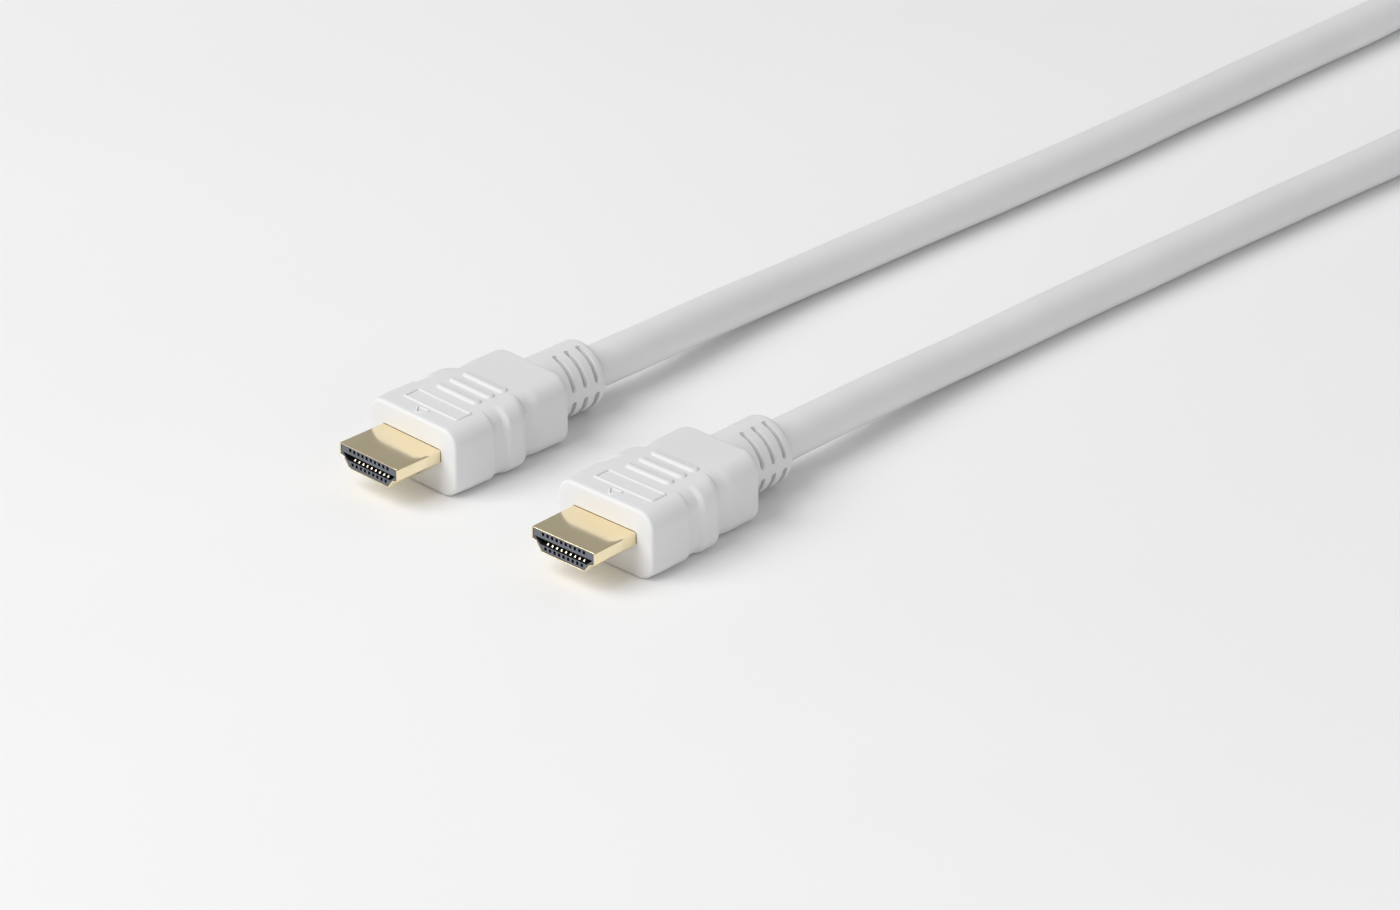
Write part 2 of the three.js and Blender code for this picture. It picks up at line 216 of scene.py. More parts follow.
def moulded_grain_group():
    """Slow change of tone over a moulding, its fine spark-eroded grain, and faint flow marks."""
    tree, inp, out = new_group(
        "moulded grain",
        [
            ("Grain Scale", "NodeSocketFloat", 9000.0),
            ("Tone Scale", "NodeSocketFloat", 60.0),
            ("Flow", "NodeSocketFloat", 0.3),
        ],
        [("Tone", "NodeSocketFloat"), ("Height", "NodeSocketFloat")],
    )
    coords = node(tree, "ShaderNodeTexCoord")
    slow = node(tree, "ShaderNodeTexNoise", {"Detail": 3.0, "Roughness": 0.5})
    tree.links.new(coords.outputs["Object"], slow.inputs["Vector"])
    tree.links.new(inp.outputs["Tone Scale"], slow.inputs["Scale"])
    fine = node(tree, "ShaderNodeTexNoise", {"Detail": 4.0, "Roughness": 0.62})
    tree.links.new(coords.outputs["Object"], fine.inputs["Vector"])
    tree.links.new(inp.outputs["Grain Scale"], fine.inputs["Scale"])
    pits = node(tree, "ShaderNodeTexVoronoi", feature="F1")
    tree.links.new(coords.outputs["Object"], pits.inputs["Vector"])
    tree.links.new(math_node(tree, "MULTIPLY", inp.outputs["Grain Scale"], 0.45), pits.inputs["Scale"])
    flow = node(tree, "ShaderNodeTexNoise", {"Scale": 240.0, "Detail": 2.0, "Distortion": 0.6})
    stretch = node(tree, "ShaderNodeMapping", {"Scale": (1.0, 0.18, 1.0)})
    tree.links.new(coords.outputs["Object"], stretch.inputs["Vector"])
    tree.links.new(stretch.outputs["Vector"], flow.inputs["Vector"])
    half_pits = math_node(tree, "MULTIPLY", pits.outputs["Distance"], 0.5)
    streaks = math_node(tree, "MULTIPLY", flow.outputs["Fac"], inp.outputs["Flow"])
    height = math_node(tree, "ADD", math_node(tree, "ADD", fine.outputs["Fac"], half_pits), streaks)
    tree.links.new(slow.outputs["Fac"], out.inputs["Tone"])
    tree.links.new(height, out.inputs["Height"])
    return tree


def drawn_metal_group():
    """Fine lines left by drawing and plating a strip, along one direction."""
    tree, inp, out = new_group(
        "drawn metal",
        [
            ("Line Scale", "NodeSocketFloat", 2600.0),
            ("Stretch", "NodeSocketVector", (1.0, 0.03, 1.0)),
        ],
        [("Lines", "NodeSocketFloat"), ("Cloud", "NodeSocketFloat"), ("Scuffs", "NodeSocketFloat")],
    )
    coords = node(tree, "ShaderNodeTexCoord")
    stretch = node(tree, "ShaderNodeMapping")
    tree.links.new(coords.outputs["Object"], stretch.inputs["Vector"])
    tree.links.new(inp.outputs["Stretch"], stretch.inputs["Scale"])
    lines = node(tree, "ShaderNodeTexNoise", {"Detail": 5.0, "Roughness": 0.6})
    tree.links.new(stretch.outputs["Vector"], lines.inputs["Vector"])
    tree.links.new(inp.outputs["Line Scale"], lines.inputs["Scale"])
    cloud = node(tree, "ShaderNodeTexNoise", {"Scale": 170.0, "Detail": 2.0})
    tree.links.new(coords.outputs["Object"], cloud.inputs["Vector"])
    scuffs = node(tree, "ShaderNodeTexNoise", {"Scale": 900.0, "Detail": 6.0, "Roughness": 0.7})
    tree.links.new(coords.outputs["Object"], scuffs.inputs["Vector"])
    worn = node(tree, "ShaderNodeMapRange", {"From Min": 0.55, "From Max": 0.75})
    tree.links.new(scuffs.outputs["Fac"], worn.inputs["Value"])
    tree.links.new(lines.outputs["Fac"], out.inputs["Lines"])
    tree.links.new(cloud.outputs["Fac"], out.inputs["Cloud"])
    tree.links.new(worn.outputs["Result"], out.inputs["Scuffs"])
    return tree


# Materials


def ramp_node(tree, factor, stops):
    made = node(tree, "ShaderNodeValToRGB")
    bar = made.color_ramp
    while len(bar.elements) < len(stops):
        bar.elements.new(0.5)
    for element, (place, colour) in zip(bar.elements, stops):
        element.position = place
        element.color = (*colour, 1.0)
    tree.links.new(factor, made.inputs["Fac"])
    return made


def map_node(tree, value, low, high):
    made = node(tree, "ShaderNodeMapRange", {"To Min": low, "To Max": high})
    tree.links.new(value, made.inputs["Value"])
    return made.outputs["Result"]


def start_material(name, metallic=0.0, **fixed):
    material = bpy.data.materials.new(name)
    material.use_nodes = True
    tree = material.node_tree
    shader = tree.nodes["Principled BSDF"]
    shader.inputs["Metallic"].default_value = metallic
    for key, value in fixed.items():
        shader.inputs[key.replace("_", " ")].default_value = value
    return material, tree, shader


def place_group(tree, group, values):
    made = node(tree, "ShaderNodeGroup", node_tree=group)
    for key, value in values.items():
        made.inputs[key].default_value = value
    return made


def add_bump(tree, shader, height, distance, strength):
    bump = node(tree, "ShaderNodeBump", {"Distance": distance, "Strength": strength})
    tree.links.new(height, bump.inputs["Height"])
    tree.links.new(bump.outputs["Normal"], shader.inputs["Normal"])


def moulded_plastic(name, grain, dark, light, rough, grain_scale, flow, depth, recess=None):
    material, tree, shader = start_material(name, Specular_IOR_Level=0.38)
    marks = place_group(tree, grain, {"Grain Scale": grain_scale, "Flow": flow})
    colour = ramp_node(tree, marks.outputs["Tone"], [(0.3, dark), (0.7, light)])
    result = colour.outputs["Color"]
    # Marked faces are mixed towards near-black: painted shade inside the insulator's slot and windows.
    if recess:
        mix = node(tree, "ShaderNodeMix", data_type="RGBA")
        mix.inputs["B"].default_value = (*recess, 1.0)
        stored = node(tree, "ShaderNodeAttribute", attribute_name="recess")
        tree.links.new(stored.outputs["Fac"], mix.inputs["Factor"])
        tree.links.new(result, mix.inputs["A"])
        result = mix.outputs["Result"]
    tree.links.new(result, shader.inputs["Base Color"])
    roughness = map_node(tree, marks.outputs["Tone"], rough - 0.05, rough + 0.05)
    tree.links.new(roughness, shader.inputs["Roughness"])
    add_bump(tree, shader, marks.outputs["Height"], depth * MM, 0.35)
    return material


def plated_metal(name, lines, dark, light, rough, stretch, line_scale):
    material, tree, shader = start_material(name, metallic=1.0)
    marks = place_group(tree, lines, {"Line Scale": line_scale, "Stretch": stretch})
    colour = ramp_node(tree, marks.outputs["Cloud"], [(0.3, dark), (0.7, light)])
    tree.links.new(colour.outputs["Color"], shader.inputs["Base Color"])
    smooth = map_node(tree, marks.outputs["Lines"], rough - 0.05, rough + 0.05)
    worn = math_node(tree, "MULTIPLY", marks.outputs["Scuffs"], 0.1)
    tree.links.new(math_node(tree, "ADD", smooth, worn), shader.inputs["Roughness"])
    add_bump(tree, shader, marks.outputs["Lines"], 0.004 * MM, 0.25)
    return material


def strap_material(name, grain):
    """Woven strap: a fine basket weave over its own length."""
    material, tree, shader = start_material(name)
    marks = place_group(tree, grain, {"Grain Scale": 6000.0, "Flow": 0.1})
    coords = node(tree, "ShaderNodeTexCoord")
    along = node(tree, "ShaderNodeMapping", {"Rotation": (0.0, 0.0, -math.radians(TIE_TURN))})
    tree.links.new(coords.outputs["Object"], along.inputs["Vector"])
    weave = node(tree, "ShaderNodeTexBrick", {"Scale": 600.0, "Mortar Size": 0.06, "Mortar Smooth": 0.5})
    tree.links.new(along.outputs["Vector"], weave.inputs["Vector"])
    tones = [(0.3, (0.70, 0.70, 0.69)), (0.7, (0.78, 0.78, 0.77))]
    colour = ramp_node(tree, marks.outputs["Tone"], tones)
    tree.links.new(colour.outputs["Color"], shader.inputs["Base Color"])
    tree.links.new(map_node(tree, marks.outputs["Tone"], 0.75, 0.9), shader.inputs["Roughness"])
    threads = math_node(tree, "SUBTRACT", 1.0, weave.outputs["Fac"])
    add_bump(tree, shader, threads, 0.15 * MM, 0.6)
    return material


def floor_material():
    material, tree, shader = start_material("pale paper sweep")
    coords = node(tree, "ShaderNodeTexCoord")
    noise = node(tree, "ShaderNodeTexNoise", {"Scale": 8.0, "Detail": 4.0})
    tree.links.new(coords.outputs["Object"], noise.inputs["Vector"])
    tones = [(0.3, (0.93, 0.93, 0.93)), (0.7, (0.95, 0.95, 0.95))]
    colour = ramp_node(tree, noise.outputs["Fac"], tones)
    tree.links.new(colour.outputs["Color"], shader.inputs["Base Color"])
    shader.inputs["Roughness"].default_value = 0.9
    shader.inputs["Specular IOR Level"].default_value = 0.1
    return material


# Mesh helpers


def link(piece):
    bpy.context.scene.collection.objects.link(piece)
    return piece


def finish_mesh(mesh, material, crease=38.0):
    """Doubles merged, faces outwards, smooth but for real edges."""
    bm = bmesh.new()
    bm.from_mesh(mesh)
    bmesh.ops.remove_doubles(bm, verts=bm.verts, dist=1e-7)
    bmesh.ops.recalc_face_normals(bm, faces=bm.faces)
    limit = math.radians(crease)
    for face in bm.faces:
        face.smooth = True
    for edge in bm.edges:
        edge.smooth = len(edge.link_faces) == 2 and edge.calc_face_angle(0.0) < limit
    bm.to_mesh(mesh)
    bm.free()
    mesh.materials.clear()
    mesh.materials.append(material)


class Surface:
    """Closed surfaces gathered into one mesh, in millimetres."""

    def __init__(self):
        self.points = []
        self.faces = []

    def loft(self, rings, wrap=False):
        """A surface through rings of equal number, capped, or closed on itself if wrapped."""
        start = len(self.points)
        n = len(rings[0])
        for ring in rings:
            self.points.extend(ring)
        count = len(rings)
        for i in range(count if wrap else count - 1):
            a = start + i * n
            b = start + ((i + 1) % count) * n
            for j in range(n):
                k = (j + 1) % n
                self.faces.append((a + j, a + k, b + k, b + j))
        if not wrap:
            self.cap(start, n, True)
            self.cap(start + (count - 1) * n, n, False)

    def cap(self, first, n, flip):
        """A flat end, with a narrow band inside its edge so that the end shades flat."""
        ring = self.points[first : first + n]
        centre = [sum(p[i] for p in ring) / n for i in range(3)]
        inner = [tuple(c + (v - c) * 0.97 for v, c in zip(p, centre)) for p in ring]
        at = len(self.points)
        self.points.extend(inner)
        for j in range(n):
            k = (j + 1) % n
            quad = (first + j, first + k, at + k, at + j)
            self.faces.append(quad[::-1] if flip else quad)
        end = tuple(range(at, at + n))
        self.faces.append(end[::-1] if flip else end)

    def piece(self, name, place, material, crease=38.0):
        mesh = bpy.data.meshes.new(name)
        points = [(place @ Vector(p)) * MM for p in self.points]
        mesh.from_pydata(points, [], self.faces)
        finish_mesh(mesh, material, crease)
        return link(bpy.data.objects.new(name, mesh))


def rounded_outline(points, radii, steps):
    """A closed outline with each corner rounded by its own radius."""
    out = []
    n = len(points)
    for i, corner in enumerate(points):
        p = Vector(corner)
        a = (Vector(points[i - 1]) - p).normalized()
        b = (Vector(points[(i + 1) % n]) - p).normalized()
        half = math.acos(max(-1.0, min(1.0, a.dot(b)))) / 2
        r = radii[i]
        centre = p + (a + b).normalized() * (r / math.sin(half))
        start = p + a * (r / math.tan(half)) - centre
        stop = p + b * (r / math.tan(half)) - centre
        turn = math.atan2(start.x * stop.y - start.y * stop.x, start.dot(stop))
        for k in range(steps + 1):
            t = turn * k / steps
            c, s = math.cos(t), math.sin(t)
            out.append((centre.x + c * start.x - s * start.y, centre.y + s * start.x + c * start.y))
    return out


def inset_outline(outline, distance):
    """The same outline moved inwards (or outwards, if negative) along its own normals."""
    n = len(outline)
    out = []
    for i in range(n):
        before, here, after = (Vector(outline[j % n]) for j in (i - 1, i, i + 1))
        d1, d2 = (here - before).normalized(), (after - here).normalized()
        n1, n2 = Vector((-d1.y, d1.x)), Vector((-d2.y, d2.x))
        bisector = (n1 + n2).normalized()
        reach = distance / max(0.5, bisector.dot(n1))
        out.append((here.x + bisector.x * reach, here.y + bisector.y * reach))
    return out


def split_long_sides(outline, longest):
    out = []
    n = len(outline)
    for i in range(n):
        a, b = Vector(outline[i]), Vector(outline[(i + 1) % n])
        cuts = max(1, math.ceil((b - a).length / longest))
        for k in range(cuts):
            q = a.lerp(b, k / cuts)
            out.append((q.x, q.y))
    return out


def ease(t):
    t = max(0.0, min(1.0, t))
    return t * t * (3.0 - 2.0 * t)


# Geometry node trees


def copies_tree():
    """Copies of a mesh in one straight row, realised, in one material."""
    tree = bpy.data.node_groups.new("row of copies", "GeometryNodeTree")
    face = tree.interface
    for label, kind in (
        ("Geometry", "NodeSocketGeometry"),
        ("Count", "NodeSocketInt"),
        ("Start", "NodeSocketVector"),
        ("Step", "NodeSocketVector"),
        ("Turn", "NodeSocketFloat"),
        ("Material", "NodeSocketMaterial"),
    ):
        face.new_socket(label, in_out="INPUT", socket_type=kind)
    face.new_socket("Geometry", in_out="OUTPUT", socket_type="NodeSocketGeometry")
    inp, out = tree.nodes.new("NodeGroupInput"), tree.nodes.new("NodeGroupOutput")
    line = tree.nodes.new("GeometryNodeMeshLine")
    line.mode = "OFFSET"
    spread = tree.nodes.new("GeometryNodeInstanceOnPoints")
    turn = tree.nodes.new("ShaderNodeCombineXYZ")
    real = tree.nodes.new("GeometryNodeRealizeInstances")
    paint = tree.nodes.new("GeometryNodeSetMaterial")
    join = tree.links.new
    join(inp.outputs["Count"], line.inputs["Count"])
    join(inp.outputs["Start"], line.inputs["Start Location"])
    join(inp.outputs["Step"], line.inputs["Offset"])
    join(line.outputs["Mesh"], spread.inputs["Points"])
    join(inp.outputs["Geometry"], spread.inputs["Instance"])
    join(inp.outputs["Turn"], turn.inputs["Z"])
    join(turn.outputs["Vector"], spread.inputs["Rotation"])
    join(spread.outputs["Instances"], real.inputs["Geometry"])
    join(real.outputs["Geometry"], paint.inputs["Geometry"])
    join(inp.outputs["Material"], paint.inputs["Material"])
    join(paint.outputs["Geometry"], out.inputs["Geometry"])
    return tree


def pierced_tree():
    """A block with two rows of openings cut through its face."""
    tree = bpy.data.node_groups.new("pierced block", "GeometryNodeTree")
    face = tree.interface
    for label, kind in (
        ("Geometry", "NodeSocketGeometry"),
        ("Cutter", "NodeSocketObject"),
        ("Upper Count", "NodeSocketInt"),
        ("Upper Start", "NodeSocketVector"),
        ("Lower Count", "NodeSocketInt"),
        ("Lower Start", "NodeSocketVector"),
        ("Step", "NodeSocketVector"),
        ("Turn", "NodeSocketFloat"),
        ("Material", "NodeSocketMaterial"),
    ):
        face.new_socket(label, in_out="INPUT", socket_type=kind)
    face.new_socket("Geometry", in_out="OUTPUT", socket_type="NodeSocketGeometry")
    inp, out = tree.nodes.new("NodeGroupInput"), tree.nodes.new("NodeGroupOutput")
    cutter = tree.nodes.new("GeometryNodeObjectInfo")
    turn = tree.nodes.new("ShaderNodeCombineXYZ")
    cut = tree.nodes.new("GeometryNodeMeshBoolean")
    cut.operation = "DIFFERENCE"
    cut.solver = "EXACT"
    paint = tree.nodes.new("GeometryNodeSetMaterial")
    real = tree.nodes.new("GeometryNodeRealizeInstances")
    join = tree.links.new
    join(inp.outputs["Cutter"], cutter.inputs["Object"])
    join(inp.outputs["Turn"], turn.inputs["Z"])
    join(inp.outputs["Geometry"], cut.inputs["Mesh 1"])
    for row in ("Upper", "Lower"):
        line = tree.nodes.new("GeometryNodeMeshLine")
        line.mode = "OFFSET"
        spread = tree.nodes.new("GeometryNodeInstanceOnPoints")
        whole = tree.nodes.new("GeometryNodeRealizeInstances")
        join(inp.outputs[f"{row} Count"], line.inputs["Count"])
        join(inp.outputs[f"{row} Start"], line.inputs["Start Location"])
        join(inp.outputs["Step"], line.inputs["Offset"])
        join(line.outputs["Mesh"], spread.inputs["Points"])
        join(cutter.outputs["Geometry"], spread.inputs["Instance"])
        join(turn.outputs["Vector"], spread.inputs["Rotation"])
        join(spread.outputs["Instances"], whole.inputs["Geometry"])
        join(whole.outputs["Geometry"], cut.inputs["Mesh 2"])
    join(cut.outputs["Mesh"], real.inputs["Geometry"])
    join(real.outputs["Geometry"], paint.inputs["Geometry"])
    join(inp.outputs["Material"], paint.inputs["Material"])
    join(paint.outputs["Geometry"], out.inputs["Geometry"])
    return tree


def keep_result(piece, modifier):
    """Keeps what a piece's modifier makes as its plain mesh."""
    graph = bpy.context.evaluated_depsgraph_get()
    mesh = bpy.data.meshes.new_from_object(piece.evaluated_get(graph))
    piece.modifiers.remove(modifier)
    old = piece.data
    piece.data = mesh
    bpy.data.meshes.remove(old)
    mesh.name = piece.name


def apply_tree(piece, tree, values):
    """Runs a tree on a piece."""
    modifier = piece.modifiers.new(tree.name, "NODES")
    modifier.node_group = tree
    for item in tree.interface.items_tree:
        if item.item_type == "SOCKET" and item.in_out == "INPUT" and item.name in values:
            modifier[item.identifier] = values[item.name]
    keep_result(piece, modifier)


def cut_away(piece, cutter):
    """Cuts one piece's volume out of another."""
    cut = piece.modifiers.new("cut", "BOOLEAN")
    cut.operation = "DIFFERENCE"
    cut.solver = "EXACT"
    cut.object = cutter
    keep_result(piece, cut)
    bpy.data.objects.remove(cutter)


def mark_painted_recess_shade(piece, place):
    """Marks the faces that lie behind the block's front, for its material to paint near-black: painted
    shade inside the slot and the windows.
    """
    back = place.inverted()
    values = [float((back @ (face.center / MM)).y > FACE_Y + 0.25) for face in piece.data.polygons]
    recess = piece.data.attributes.new("recess", "FLOAT", "FACE")
    recess.data.foreach_set("value", values)


# Moulded body


def rounded_fall(v, start, stop, deep):
    """How far a side has curved in, from nothing at the start to its full depth."""
    t = max(0.0, min(1.0, (v - start) / (stop - start)))
    return deep * (1.0 - math.sqrt(1.0 - t * t))


def body_half_width(v):
    """Half the moulding's width, v millimetres behind its front face."""
    half = BODY_W / 2 - 0.22 * (1.0 - ease(v / 4.0))
    if v < VALLEY1_END:
        return half - rounded_fall(v, FRONT_BLOCK, FRONT_BLOCK + BLOCK_EDGE, VALLEY1_DEEP)
    if v < BAND_START:
        return half - VALLEY1_DEEP * (1.0 - ease((v - VALLEY1_END) / (BAND_START - VALLEY1_END)))
    if v < VALLEY2_END:
        return half - rounded_fall(v, BAND_END, VALLEY2_AT, VALLEY2_DEEP)
    rise = (VALLEY2_DEEP - REAR_IN) * ease((v - VALLEY2_END) / (REAR_START - VALLEY2_END))
    return half - VALLEY2_DEEP + rise - rounded_fall(v, BODY_L - REAR_CORNER_R, BODY_L, REAR_CORNER_R)


def body_section(v, inset):
    """A ring of the moulding's section, from the right side over the top and round."""
    w, h, r = body_half_width(v) - inset, BODY_H / 2 - inset, EDGE_R - inset
    corner = []
    for k in range(13):
        t = math.radians(7.5 * k)
        corner.append((w - r + r * math.cos(t), h - r + r * math.sin(t)))
    side = [(w, (h - r) * k / 16) for k in range(16)]
    top = [((w - r) * (1.0 - k / 12), h) for k in range(1, 12)]
    quarter = side + corner + top
    half = quarter + [(0.0, h)] + [(-x, z) for x, z in reversed(quarter[1:])]
    ring = half + [(-x, -z) for x, z in half]
    return [(x, AXIS_Z + z) for x, z in ring]


def stations():
    """Places along the moulding, close together where its outline turns."""
    spans = [(END_R, FRONT_BLOCK, 10), (FRONT_BLOCK, FRONT_BLOCK + BLOCK_EDGE, 8)]
    spans += [(FRONT_BLOCK + BLOCK_EDGE, VALLEY1_END, 5), (VALLEY1_END, BAND_START, 10)]
    spans += [(BAND_START, BAND_END, 4), (BAND_END, VALLEY2_AT, 16), (VALLEY2_AT, VALLEY2_END, 4)]
    spans += [(VALLEY2_END, REAR_START, 8), (REAR_START, BODY_L - REAR_CORNER_R, 6)]
    spans += [(BODY_L - REAR_CORNER_R, BODY_L, 16)]
    marks = [END_R * (1.0 - math.cos(math.radians(15.0 * k))) for k in range(6)] + [END_R]
    for low, high, steps in spans:
        for k in range(1, steps + 1):
            t = k / steps
            if low in (FRONT_BLOCK, BAND_END, BODY_L - REAR_CORNER_R):
                t = math.sin(math.radians(90.0 * t))
            marks.append(low + (high - low) * t)
    return marks


def end_inset(v):
    """How far the section has drawn in where the end faces' edges are rounded."""
    return rounded_fall(-v, -END_R, 0.0, END_R) + rounded_fall(v, BODY_L - END_R, BODY_L, END_R)


def add_body(surface):
    rings = []
    for v in stations():
        rings.append([(x, FRONT_Y + v, z) for x, z in body_section(v, end_inset(v))])
    first = rings[0]
    seat = seat_ring(first)
    deep = [(x, y + 0.5, z) for x, y, z in seat]
    middle = [tuple(a + (b - a) * 0.5 for a, b in zip(p, q)) for p, q in zip(first, seat)]
    near = [tuple(a + (b - a) * 0.04 for a, b in zip(p, q)) for p, q in zip(first, seat)]
    surface.loft([deep, seat, middle, near, *rings])


def outline_by_angle(inset):
    """The shell's outline as points with their angle round its middle."""
    middle_z = SHELL_LIFT + SHELL_H / 2
    return [(math.atan2(z - middle_z, x), x, z) for x, z in split_long_sides(shell_outline(inset), 0.25)]


def seat_ring(ring):
    """The shell's outline in the front face, with one point for each point of the body's ring.

    The seam stands open by a hair round the shell's wide part and is tight below it."""
    seam, tight = outline_by_angle(-0.1), outline_by_angle(0.05)
    out = []
    for x, y, z in ring:
        a = math.atan2(z - AXIS_Z, x)
        source = seam if math.sin(a) > -0.01 else tight
        _, sx, sz = min(source, key=lambda p: abs(math.remainder(p[0] - a, 2 * math.pi)))
        out.append((sx, y, sz))
    return out


def sleeve_radius(y, degrees):
    """The strain relief's radius: a round sleeve with three rows of four slots."""
    from_bar = abs(((degrees + 45.0) % 90.0) - 45.0) - RELIEF_BAR_HALF
    past_end = max(0.0, RELIEF_SLOT_HALF - math.radians(from_bar) * SLEEVE_R)
    cut = 0.0
    for row in range(RELIEF_ROWS):
        off = y - (BACK_Y + RELIEF_FIRST + RELIEF_PITCH * row)
        cut = max(cut, ease((RELIEF_SLOT_HALF + 0.05 - math.hypot(off, past_end)) / 0.12))
    tail = y - (EXIT_Y - RELIEF_END_R)
    return SLEEVE_R - RELIEF_SLOT_DEEP * cut - rounded_fall(tail, 0.0, RELIEF_END_R, RELIEF_END_R)


def add_sleeve(surface):
    ys = [BACK_Y - 1.0, BACK_Y + 0.8, BACK_Y + 2.2]
    for row in range(RELIEF_ROWS):
        middle = BACK_Y + RELIEF_FIRST + RELIEF_PITCH * row
        half = [0.0, 0.25, 0.38, 0.43, 0.46, 0.49, 0.52, 0.55, 0.58, 0.68, 0.95]
        ys += [middle - h for h in reversed(half)] + [middle + h for h in half[1:]]
    for k in range(9):
        ys.append(EXIT_Y - RELIEF_END_R + RELIEF_END_R * math.sin(math.radians(11.25 * k)))
    ys = sorted(set(round(y, 4) for y in ys))
    turns = []
    for q in range(4):
        for a in (0, 4.5, 8.0, 8.8, 9.6, 10.4, 11.2, 12.0, 13.0, 14.5, 17):
            turns.append(q * 90.0 + a)
        turns += [q * 90.0 + a for a in range(22, 69, 4)]
        for a in (73, 75.5, 77, 78, 78.8, 79.6, 80.4, 81.2, 82, 85.5):
            turns.append(q * 90.0 + a)
    rings = []
    for y in ys:
        ring = []
        for d in turns:
            r = sleeve_radius(y, d)
            a = math.radians(d)
            ring.append((r * math.cos(a), y, AXIS_Z + r * math.sin(a)))
        rings.append(ring)
    hole = CORD_D / 2 + 0.06
    for r, y in ((hole + 0.25, EXIT_Y), (hole, EXIT_Y - 0.2), (hole, EXIT_Y - 1.6)):
        angles = [math.radians(d) for d in turns]
        rings.append([(r * math.cos(a), y, AXIS_Z + r * math.sin(a)) for a in angles])
    surface.loft(rings)


def add_panel_rim(surface):
    """A raised rectangular rim on the top, in front of the grip ribs."""
    w, l = PANEL_HALF_W, PANEL_HALF_L
    x0, y0 = PANEL_X, FRONT_Y + PANEL_Y
    path = rounded_outline([(w, -l), (w, l), (-w, l), (-w, -l)], [0.45] * 4, 5)
    section = [(-0.22, -0.4), (-0.2, 0.12), (-0.1, 0.22), (0.02, 0.24)]
    section += [(0.14, 0.19), (0.26, 0.08), (0.32, -0.4)]
    rings = []
    for out, up in section:
        rings.append([(x0 + x, y0 + y, BODY_H + up) for x, y in inset_outline(path, 0.2 - out)])
    surface.loft(rings, wrap=True)


def add_arrow(surface):
    """A small arrow on the top, drawn by a raised line, that points to the plug's tip."""
    x0, y0 = ARROW_X, FRONT_Y + ARROW_Y
    path = rounded_outline([(1.5, 0.85), (-1.5, 0.85), (0.0, -1.05)], [0.25] * 3, 4)
    section = [(0.15, -0.4), (0.14, 0.12), (0.08, 0.2), (0.0, 0.2)]
    section += [(-0.08, 0.14), (-0.2, 0.03), (-0.22, -0.4)]
    rings = []
    for inset, up in section:
        rings.append([(x0 + x, y0 + y, BODY_H + up) for x, y in inset_outline(path, inset)])
    surface.loft(rings, wrap=True)


def rib_surface():
    """One raised grip rib, in its own place at the origin."""
    surface = Surface()
    l, w = RIB_HALF_L, RIB_HALF_W
    path = rounded_outline([(l, -w), (l, w), (-l, w), (-l, -w)], [w - 0.01] * 4, 8)
    section = [(0.0, -0.02), (0.1, 0.09), (0.2, 0.2), (0.3, 0.29)]
    section += [(0.4, 0.345), (0.5, 0.365), (0.62, 0.37)]
    rings = [[(x, y, -0.4) for x, y in path]]
    for inset, up in section:
        rings.append([(x, y, up) for x, y in inset_outline(path, inset)])
    surface.loft(rings)
    return surface


# Shell, insulator, contacts


def moved_corners(points, distance):
    """The corners of an outline whose sides have all moved inwards by a distance."""
    out = []
    n = len(points)
    for i in range(n):
        before, here, after = (Vector(points[j % n]) for j in (i - 1, i, i + 1))
        d1, d2 = (here - before).normalized(), (after - here).normalized()
        n1, n2 = Vector((-d1.y, d1.x)), Vector((-d2.y, d2.x))
        shift = (n1 + n2) * (distance / (1.0 + n1.dot(n2)))
        out.append((here.x + shift.x, here.y + shift.y))
    return out


def shell_outline(inset=0.0):
    """The shell's section, wide side up, as points in X and Z, moved inwards by the inset."""
    half = SHELL_W / 2
    top = SHELL_LIFT + SHELL_H
    step = top - 2.3
    slant = half - 1.05
    foot = slant - 1.15
    right = [(foot, SHELL_LIFT), (slant, step - 0.3), (half, step), (half, top)]
    left = [(-x, z) for x, z in reversed(right)]
    radii = [0.45, 0.3, 0.4, 0.3, 0.3, 0.4, 0.3, 0.45]
    outward = [1, -1, 1, 1, 1, 1, -1, 1]
    radii = [max(0.1, r - inset * side) for r, side in zip(radii, outward)]
    return rounded_outline(moved_corners(right + left, inset), radii, 6)


def shell_ring(inset, y, longest):
    """One ring of the shell's section; every inset gives the same number of points."""
    outer = shell_outline()
    ring = shell_outline(inset)
    out = []
    n = len(outer)
    for i in range(n):
        cuts = max(1, math.ceil((Vector(outer[(i + 1) % n]) - Vector(outer[i])).length / longest))
        a, b = Vector(ring[i]), Vector(ring[(i + 1) % n])
        for k in range(cuts):
            q = a.lerp(b, k / cuts)
            out.append((q.x, y, q.y))
    return out


def add_shell(surface):
    back = FRONT_Y + 0.8
    places = [(0.0, back), (0.0, 4.0), (0.0, 0.1), (0.02, 0.04), (0.06, 0.0), (0.15, 0.0)]
    places += [(0.2, 0.04), (SHELL_WALL, 0.1), (SHELL_WALL, back)]
    surface.loft([shell_ring(inset, y, 0.8) for inset, y in places], wrap=True)


def add_insulator(surface):
    edge = SHELL_WALL + 0.01
    places = [(0.06, FACE_Y), (0.02, FACE_Y + 0.03), (0.0, FACE_Y + 0.08), (0.0, FRONT_Y + 0.7)]
    surface.loft([shell_ring(edge + inset, y, 1.5) for inset, y in places])


def prism(corners, y0, y1):
    """A straight block along Y whose section has four corners in X and Z."""
    surface = Surface()
    surface.points = [(x, y0, z) for x, z in corners] + [(x, y1, z) for x, z in corners]
    surface.faces = [(0, 1, 2, 3), (7, 6, 5, 4), (0, 4, 5, 1), (1, 5, 6, 2), (2, 6, 7, 3), (3, 7, 4, 0)]
    return surface


